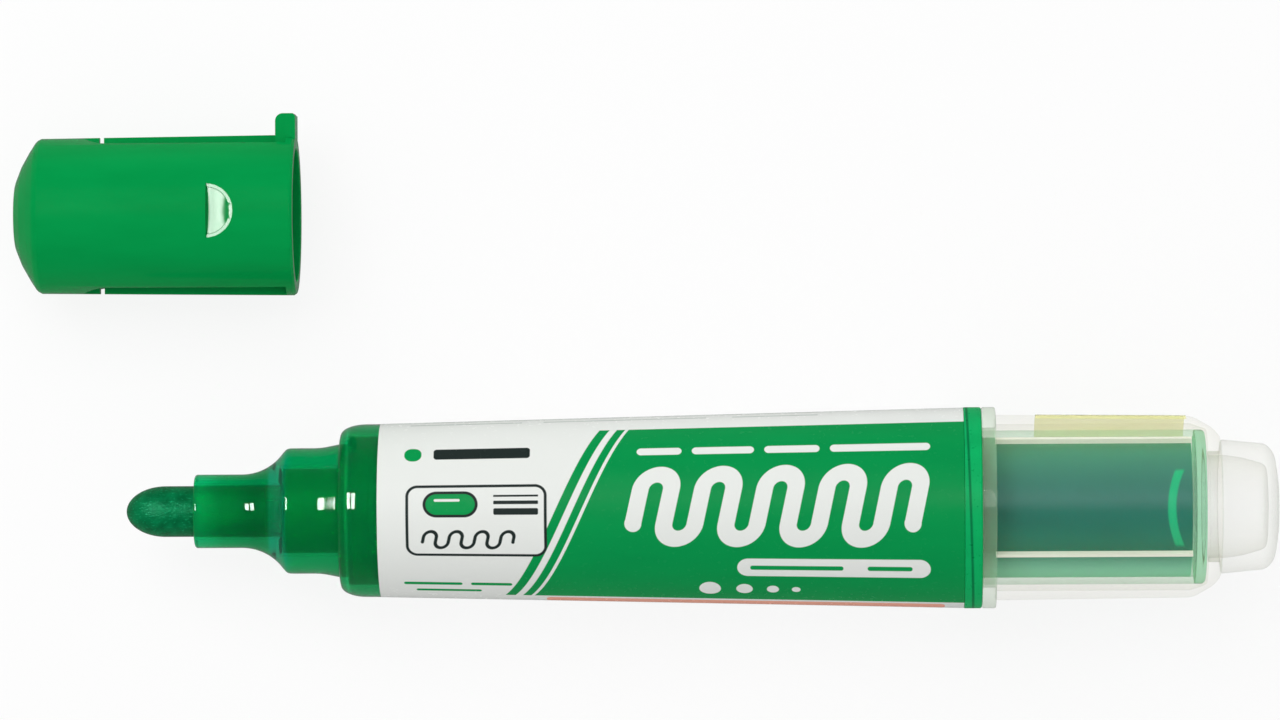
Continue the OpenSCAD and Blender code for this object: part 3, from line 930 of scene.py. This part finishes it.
def prism(name, outline, low, high):
    # Stands a flat outline of (along, sideways) points up between two heights, in mm.
    build = bmesh.new()
    foot = [build.verts.new(capStart + Vector((x, y, low)) * mm) for x, y in outline]
    top = [build.verts.new(capStart + Vector((x, y, high)) * mm) for x, y in outline]
    build.faces.new(foot)
    build.faces.new(top)
    for i in range(len(outline)):
        j = (i + 1) % len(outline)
        build.faces.new((foot[i], foot[j], top[j], top[i]))
    return addObject(name, finishMesh(build, name))


def carve(piece, other, operation):
    cut = piece.modifiers.new(operation.lower(), "BOOLEAN")
    cut.operation = operation
    cut.solver = "EXACT"
    cut.object = other


def bake(piece):
    # Turns a piece and its modifiers into a plain mesh.
    state = bpy.context.evaluated_depsgraph_get()
    mesh = bpy.data.meshes.new_from_object(piece.evaluated_get(state))
    piece.modifiers.clear()
    piece.data = mesh


def notchCutter():
    # A half-round pocket: a floor that rises towards the mouth, and a lip along the arc.
    n = notch
    top = cap["endR"] + (cap["mouthR"] - cap["endR"]) * n["stepX"] / cap["length"]
    lean = n["sideways"] / cap["endR"]
    build = bmesh.new()

    def point(x, y, z):
        return build.verts.new(capStart + Vector((n["stepX"] + x, n["sideways"] + y, z)) * mm)

    def floor(x, y):
        steep = max(x - n["whiteEnd"], 0)
        along = x * n["rise"] + x * x * n["bend"] + steep * n["steep"]
        return top - n["depth"] + along - y * lean

    def lip(x, y):
        return top - n["lipDepth"] + (x - n["radius"]) * n["lipRise"] - y * lean

    steps = n["steps"]
    turns = [math.radians(-90 + 180 * i / steps) for i in range(steps + 1)]
    reaches = [n["radius"] * share for share in (0.1, 0.25, 0.4, 0.55, 0.7, 0.8)]
    reaches += [n["lipFrom"] - 0.06, n["lipFrom"], n["radius"]]
    centre = point(0, 0, floor(0, 0))
    rows = []
    for reach in reaches:
        height = lip if reach >= n["lipFrom"] else floor
        spots = [(reach * math.cos(t), reach * math.sin(t)) for t in turns]
        rows.append([point(x, y, height(x, y)) for x, y in spots])
    rows.append([point(n["radius"] * math.cos(t), n["radius"] * math.sin(t), n["above"])
                 for t in turns])
    for i in range(steps):
        build.faces.new((centre, rows[0][i], rows[0][i + 1]))
    for row, following in zip(rows, rows[1:]):
        for i in range(steps):
            build.faces.new((row[i], following[i], following[i + 1], row[i + 1]))
    build.faces.new(rows[-1])
    start, end = [row[0] for row in rows], [row[-1] for row in rows]
    build.faces.new([*start, *reversed(end), centre])
    return addObject("notchCutter", finishMesh(build, "notchCutter"))


def makeCap():
    c = cap
    outline = [
        (0, 0), *c["dome"], (c["endR"], c["domeEnd"]),
        (c["mouthR"], c["length"] - 0.3, 0.3), (c["mouthR"] - 0.25, c["length"], 0.2),
        (c["entryR"], c["length"], 0.15), (c["entryR"], c["gripEnd"] + 0.3),
        (c["gripR"], c["gripEnd"]), (c["gripR"], c["grip"] + 0.2), (c["roomR"], c["grip"]),
        (c["roomR"], innerCap["start"]), (0, innerCap["start"]),
    ]
    piece = lathe("capBody", capStart, outline, 256)
    arc = [math.radians(c["runTurn"] * (1 - i / 10)) for i in range(11)]
    runIn = [(c["runX"] - c["runR"] * math.sin(a), c["flatY"] + c["runR"] * (1 - math.cos(a)))
             for a in arc]
    clear = c["clear"]
    flat = [*runIn, (c["rimX"], c["flatY"]), (c["rimX"], clear), (runIn[0][0], clear)]
    cutters = []
    for side in (1, -1):
        mirrored = [(x, y * side) for x, y in flat]
        for half in (1, -1):
            low, high = sorted((c["finHalf"] * half, clear * half))
            cutters.append(prism(f"flatCutter{len(cutters)}", mirrored, low, high))
    for side in (1, -1):
        gap = [(x, y * side) for x in (c["gapX"], c["gapX"] + c["gapW"])
               for y in (c["flatY"], clear)]
        cutters.append(prism(f"gapCutter{side}", [gap[i] for i in (0, 1, 3, 2)], -1, 1))
    for cutter in cutters:
        carve(piece, cutter, "DIFFERENCE")
    corner = [(c["lugX"] + c["lugRound"] * (1 - math.cos(a)),
               c["lugReach"] - c["lugRound"] * (1 - math.sin(a)))
              for a in [math.pi / 2 * i / 8 for i in range(9)]]
    lugOutline = [(c["lugEnd"], c["lugRoot"]), (c["lugX"], c["lugRoot"]), *corner,
                  (c["lugEnd"] - 0.3, c["lugReach"]), (c["lugEnd"], c["lugReach"] - 0.3)]
    lug = prism("lugBlock", lugOutline, -c["lugHalf"], c["lugHalf"])
    carve(piece, lug, "UNION")
    bevel = piece.modifiers.new("edges", "BEVEL")
    bevel.width = c["bevel"] * mm
    bevel.segments = 4
    bevel.limit_method = "ANGLE"
    bevel.angle_limit = math.radians(35)
    bake(piece)
    pocket = notchCutter()
    carve(piece, pocket, "DIFFERENCE")
    bake(piece)
    piece.data.shade_smooth()
    piece.data.set_sharp_from_angle(angle=math.radians(25))
    even = piece.modifiers.new("even", "WEIGHTED_NORMAL")
    even.keep_sharp = True
    bake(piece)
    for tool in [*cutters, lug, pocket]:
        bpy.data.objects.remove(tool)
    dress(piece, "capGreen", "cap_body", "cap_plastic", "cap_shell")
    # The thumb notch is polished brighter than the rest.
    piece.data.materials.append(finishes["capPolished"])
    shallow, deep = notch["polishDepth"]
    for face in piece.data.polygons:
        spot = (face.center - capStart) / mm
        top = c["endR"] + (c["mouthR"] - c["endR"]) * spot.x / c["length"]
        inNotch = (0.02 < spot.x - notch["stepX"] < notch["radius"]
                   and abs(spot.y) < notch["polishHalf"])
        face.material_index = int(inNotch and top - deep < spot.yz.length < top - shallow
                                  and face.normal.z > 0.5)


makeCap()
print("cap carved")


# Threads, fins and ribs, grown by geometry nodes.

class Shape:
    # A geometry node tree with named inputs that ends in Realize Instances and Set Material.
    def __init__(self, name, inputs):
        self.tree = bpy.data.node_groups.new(name, "GeometryNodeTree")
        face = self.tree.interface
        self.sockets = {}
        for label, kind in inputs.items():
            socket = face.new_socket(label, in_out="INPUT", socket_type=kind)
            self.sockets[label] = socket.identifier
        face.new_socket("Geometry", in_out="OUTPUT", socket_type="NodeSocketGeometry")
        self.given = self.tree.nodes.new("NodeGroupInput").outputs

    def add(self, kind, settings=None, **values):
        node = self.tree.nodes.new(kind)
        for key, value in (settings or {}).items():
            setattr(node, key, value)
        for key, value in values.items():
            socket = node.inputs[key.replace("_", " ")]
            if isinstance(value, bpy.types.NodeSocket):
                self.tree.links.new(value, socket)
            else:
                socket.default_value = value
        return node

    def finish(self, geometry):
        plain = self.add("GeometryNodeRealizeInstances", Geometry=geometry)
        painted = self.add("GeometryNodeSetMaterial", Geometry=plain.outputs[0],
                           Material=self.given["Finish"])
        end = self.tree.nodes.new("NodeGroupOutput")
        self.tree.links.new(painted.outputs[0], end.inputs[0])

    def build(self, name, finish, **sizes):
        piece = addObject(name, bpy.data.meshes.new(name))
        grown = piece.modifiers.new("grown", "NODES")
        grown.node_group = self.tree
        for label, value in {**sizes, "Finish": finishes[finish]}.items():
            grown[self.sockets[label]] = value
        bake(piece)
        piece.data.shade_smooth()
        piece.data.set_sharp_from_angle(angle=math.radians(32))
        return piece


def threadShape():
    shape = Shape("thread", {
        "Start": "NodeSocketVector", "Radius": "NodeSocketFloat", "Pitch": "NodeSocketFloat",
        "Turns": "NodeSocketFloat", "Ridge": "NodeSocketFloat", "Finish": "NodeSocketMaterial"})
    given = shape.given
    height = shape.add("ShaderNodeMath", {"operation": "MULTIPLY"})
    shape.tree.links.new(given["Pitch"], height.inputs[0])
    shape.tree.links.new(given["Turns"], height.inputs[1])
    helix = shape.add("GeometryNodeCurveSpiral", Resolution=96, Rotations=given["Turns"],
                      Start_Radius=given["Radius"], End_Radius=given["Radius"],
                      Height=height.outputs[0])
    section = shape.add("GeometryNodeCurvePrimitiveCircle", Resolution=10,
                        Radius=given["Ridge"])
    ridge = shape.add("GeometryNodeCurveToMesh", Curve=helix.outputs[0],
                      Profile_Curve=section.outputs[0], Fill_Caps=True)
    laid = shape.add("GeometryNodeTransform", Geometry=ridge.outputs[0],
                     Rotation=(0, math.pi / 2, 0), Translation=given["Start"])
    shape.finish(laid.outputs[0])
    return shape


def finShape():
    shape = Shape("fins", {
        "Start": "NodeSocketVector", "Step": "NodeSocketVector", "Count": "NodeSocketInt",
        "Radius": "NodeSocketFloat", "Thickness": "NodeSocketFloat",
        "Finish": "NodeSocketMaterial"})
    given = shape.given
    row = shape.add("GeometryNodeMeshLine", Count=given["Count"],
                    Start_Location=given["Start"], Offset=given["Step"])
    fin = shape.add("GeometryNodeMeshCylinder", Vertices=128, Radius=given["Radius"],
                    Depth=given["Thickness"])
    laid = shape.add("GeometryNodeTransform", Geometry=fin.outputs["Mesh"],
                     Rotation=(0, math.pi / 2, 0))
    fins = shape.add("GeometryNodeInstanceOnPoints", Points=row.outputs[0],
                     Instance=laid.outputs[0])
    shape.finish(fins.outputs[0])
    return shape


def ribShape():
    shape = Shape("ribs", {
        "Start": "NodeSocketVector", "Count": "NodeSocketInt", "Size": "NodeSocketVector",
        "Reach": "NodeSocketVector", "First Turn": "NodeSocketFloat",
        "Finish": "NodeSocketMaterial"})
    given = shape.given
    points = shape.add("GeometryNodeMeshLine", Count=given["Count"], Start_Location=given["Start"],
                       Offset=(0, 0, 0))
    block = shape.add("GeometryNodeMeshCube", Size=given["Size"])
    outward = shape.add("GeometryNodeTransform", Geometry=block.outputs["Mesh"],
                        Translation=given["Reach"])
    index = shape.tree.nodes.new("GeometryNodeInputIndex")
    turn = shape.add("ShaderNodeMath", {"operation": "MULTIPLY_ADD"})
    turn.inputs[1].default_value = -math.pi / 2
    shape.tree.links.new(index.outputs[0], turn.inputs[0])
    shape.tree.links.new(given["First Turn"], turn.inputs[2])
    spin = shape.add("ShaderNodeCombineXYZ", X=turn.outputs[0])
    ribs = shape.add("GeometryNodeInstanceOnPoints", Points=points.outputs[0],
                     Instance=outward.outputs[0], Rotation=spin.outputs[0])
    shape.finish(ribs.outputs[0])
    return shape


def alongPen(x):
    return penStart + Vector((x * mm, 0, 0))


thread = {"pitch": 2.0, "turns": 2.25, "start": 94.2, "ridge": 0.3, "shellR": 10.14,
          "barrelR": 10.6}


def makeThreads():
    shape = threadShape()
    size = {"Pitch": thread["pitch"] * mm, "Turns": thread["turns"], "Ridge": thread["ridge"] * mm}
    shellRidge = shape.build("shellThread", "sleevePlastic", Radius=thread["shellR"] * mm,
                             Start=alongPen(thread["start"]), **size)
    dress(shellRidge, "sleevePlastic", "shell_body", "shell_plastic", "rear_shell")
    half = thread["pitch"] / 2
    barrelRidge = shape.build("barrelThread", "clearGreen", Radius=thread["barrelR"] * mm,
                              Start=alongPen(thread["start"] + half), **size)
    dress(barrelRidge, "clearGreen", "barrel_group", "clear_green", "barrel")


comb = {"first": 28.0, "pitch": 1.2, "count": 25, "radius": 7.8, "thickness": 0.6,
        "nose": 18.8, "noseR": 4.9, "end": 58.0, "coreR": 3.6, "boreR": 1.3}


def makeCollector():
    outline = [
        (comb["boreR"], comb["nose"]), (comb["noseR"], comb["nose"], 0.3),
        (comb["noseR"], comb["first"]), (comb["coreR"], comb["first"] + 0.6),
        (comb["coreR"], comb["end"]), (comb["boreR"], comb["end"]),
    ]
    turned("collectorCore", outline, "collectorPlastic", "barrel_group",
           "collector_plastic", "collector", steps=96)
    fins = finShape().build(
        "collectorFins", "collectorPlastic", Count=comb["count"], Radius=comb["radius"] * mm,
        Start=alongPen(comb["first"] + comb["thickness"] / 2), Step=(comb["pitch"] * mm, 0, 0),
        Thickness=comb["thickness"] * mm)
    dress(fins, "collectorPlastic", "barrel_group", "collector_plastic", "collector")


ribs = {"from": 101.6, "to": 124.4, "innerR": 9.15, "outerR": 9.8, "width": 0.4, "turn": -56}


def makeRibs():
    middle = (ribs["innerR"] + ribs["outerR"]) / 2
    size = (ribs["to"] - ribs["from"], ribs["width"], ribs["outerR"] - ribs["innerR"])
    piece = ribShape().build(
        "rearShellRibs", "ribPlastic", Count=4, Start=alongPen((ribs["from"] + ribs["to"]) / 2),
        Size=Vector(size) * mm, Reach=Vector((0, 0, middle)) * mm,
        **{"First Turn": math.radians(ribs["turn"])})
    dress(piece, "ribPlastic", "shell_body", "shell_plastic", "rear_shell")


makeThreads()
makeCollector()
makeRibs()
print("threads, fins and ribs grown")


# Hidden pieces keep their solid's shape and get their own finish.

keptPieces = {
    "piercing_tube": "naturalPlastic", "front_gasket": "blackRubber",
    "cartridge_neck": "naturalPlastic", "neck_seal": "blackRubber", "cartridge_foil": "sealFoil",
}
for nodeName, finishName in keptPieces.items():
    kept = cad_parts[nodeName]
    kept.data.materials.clear()
    kept.data.materials.append(finishes[finishName])
print("kept pieces finished")
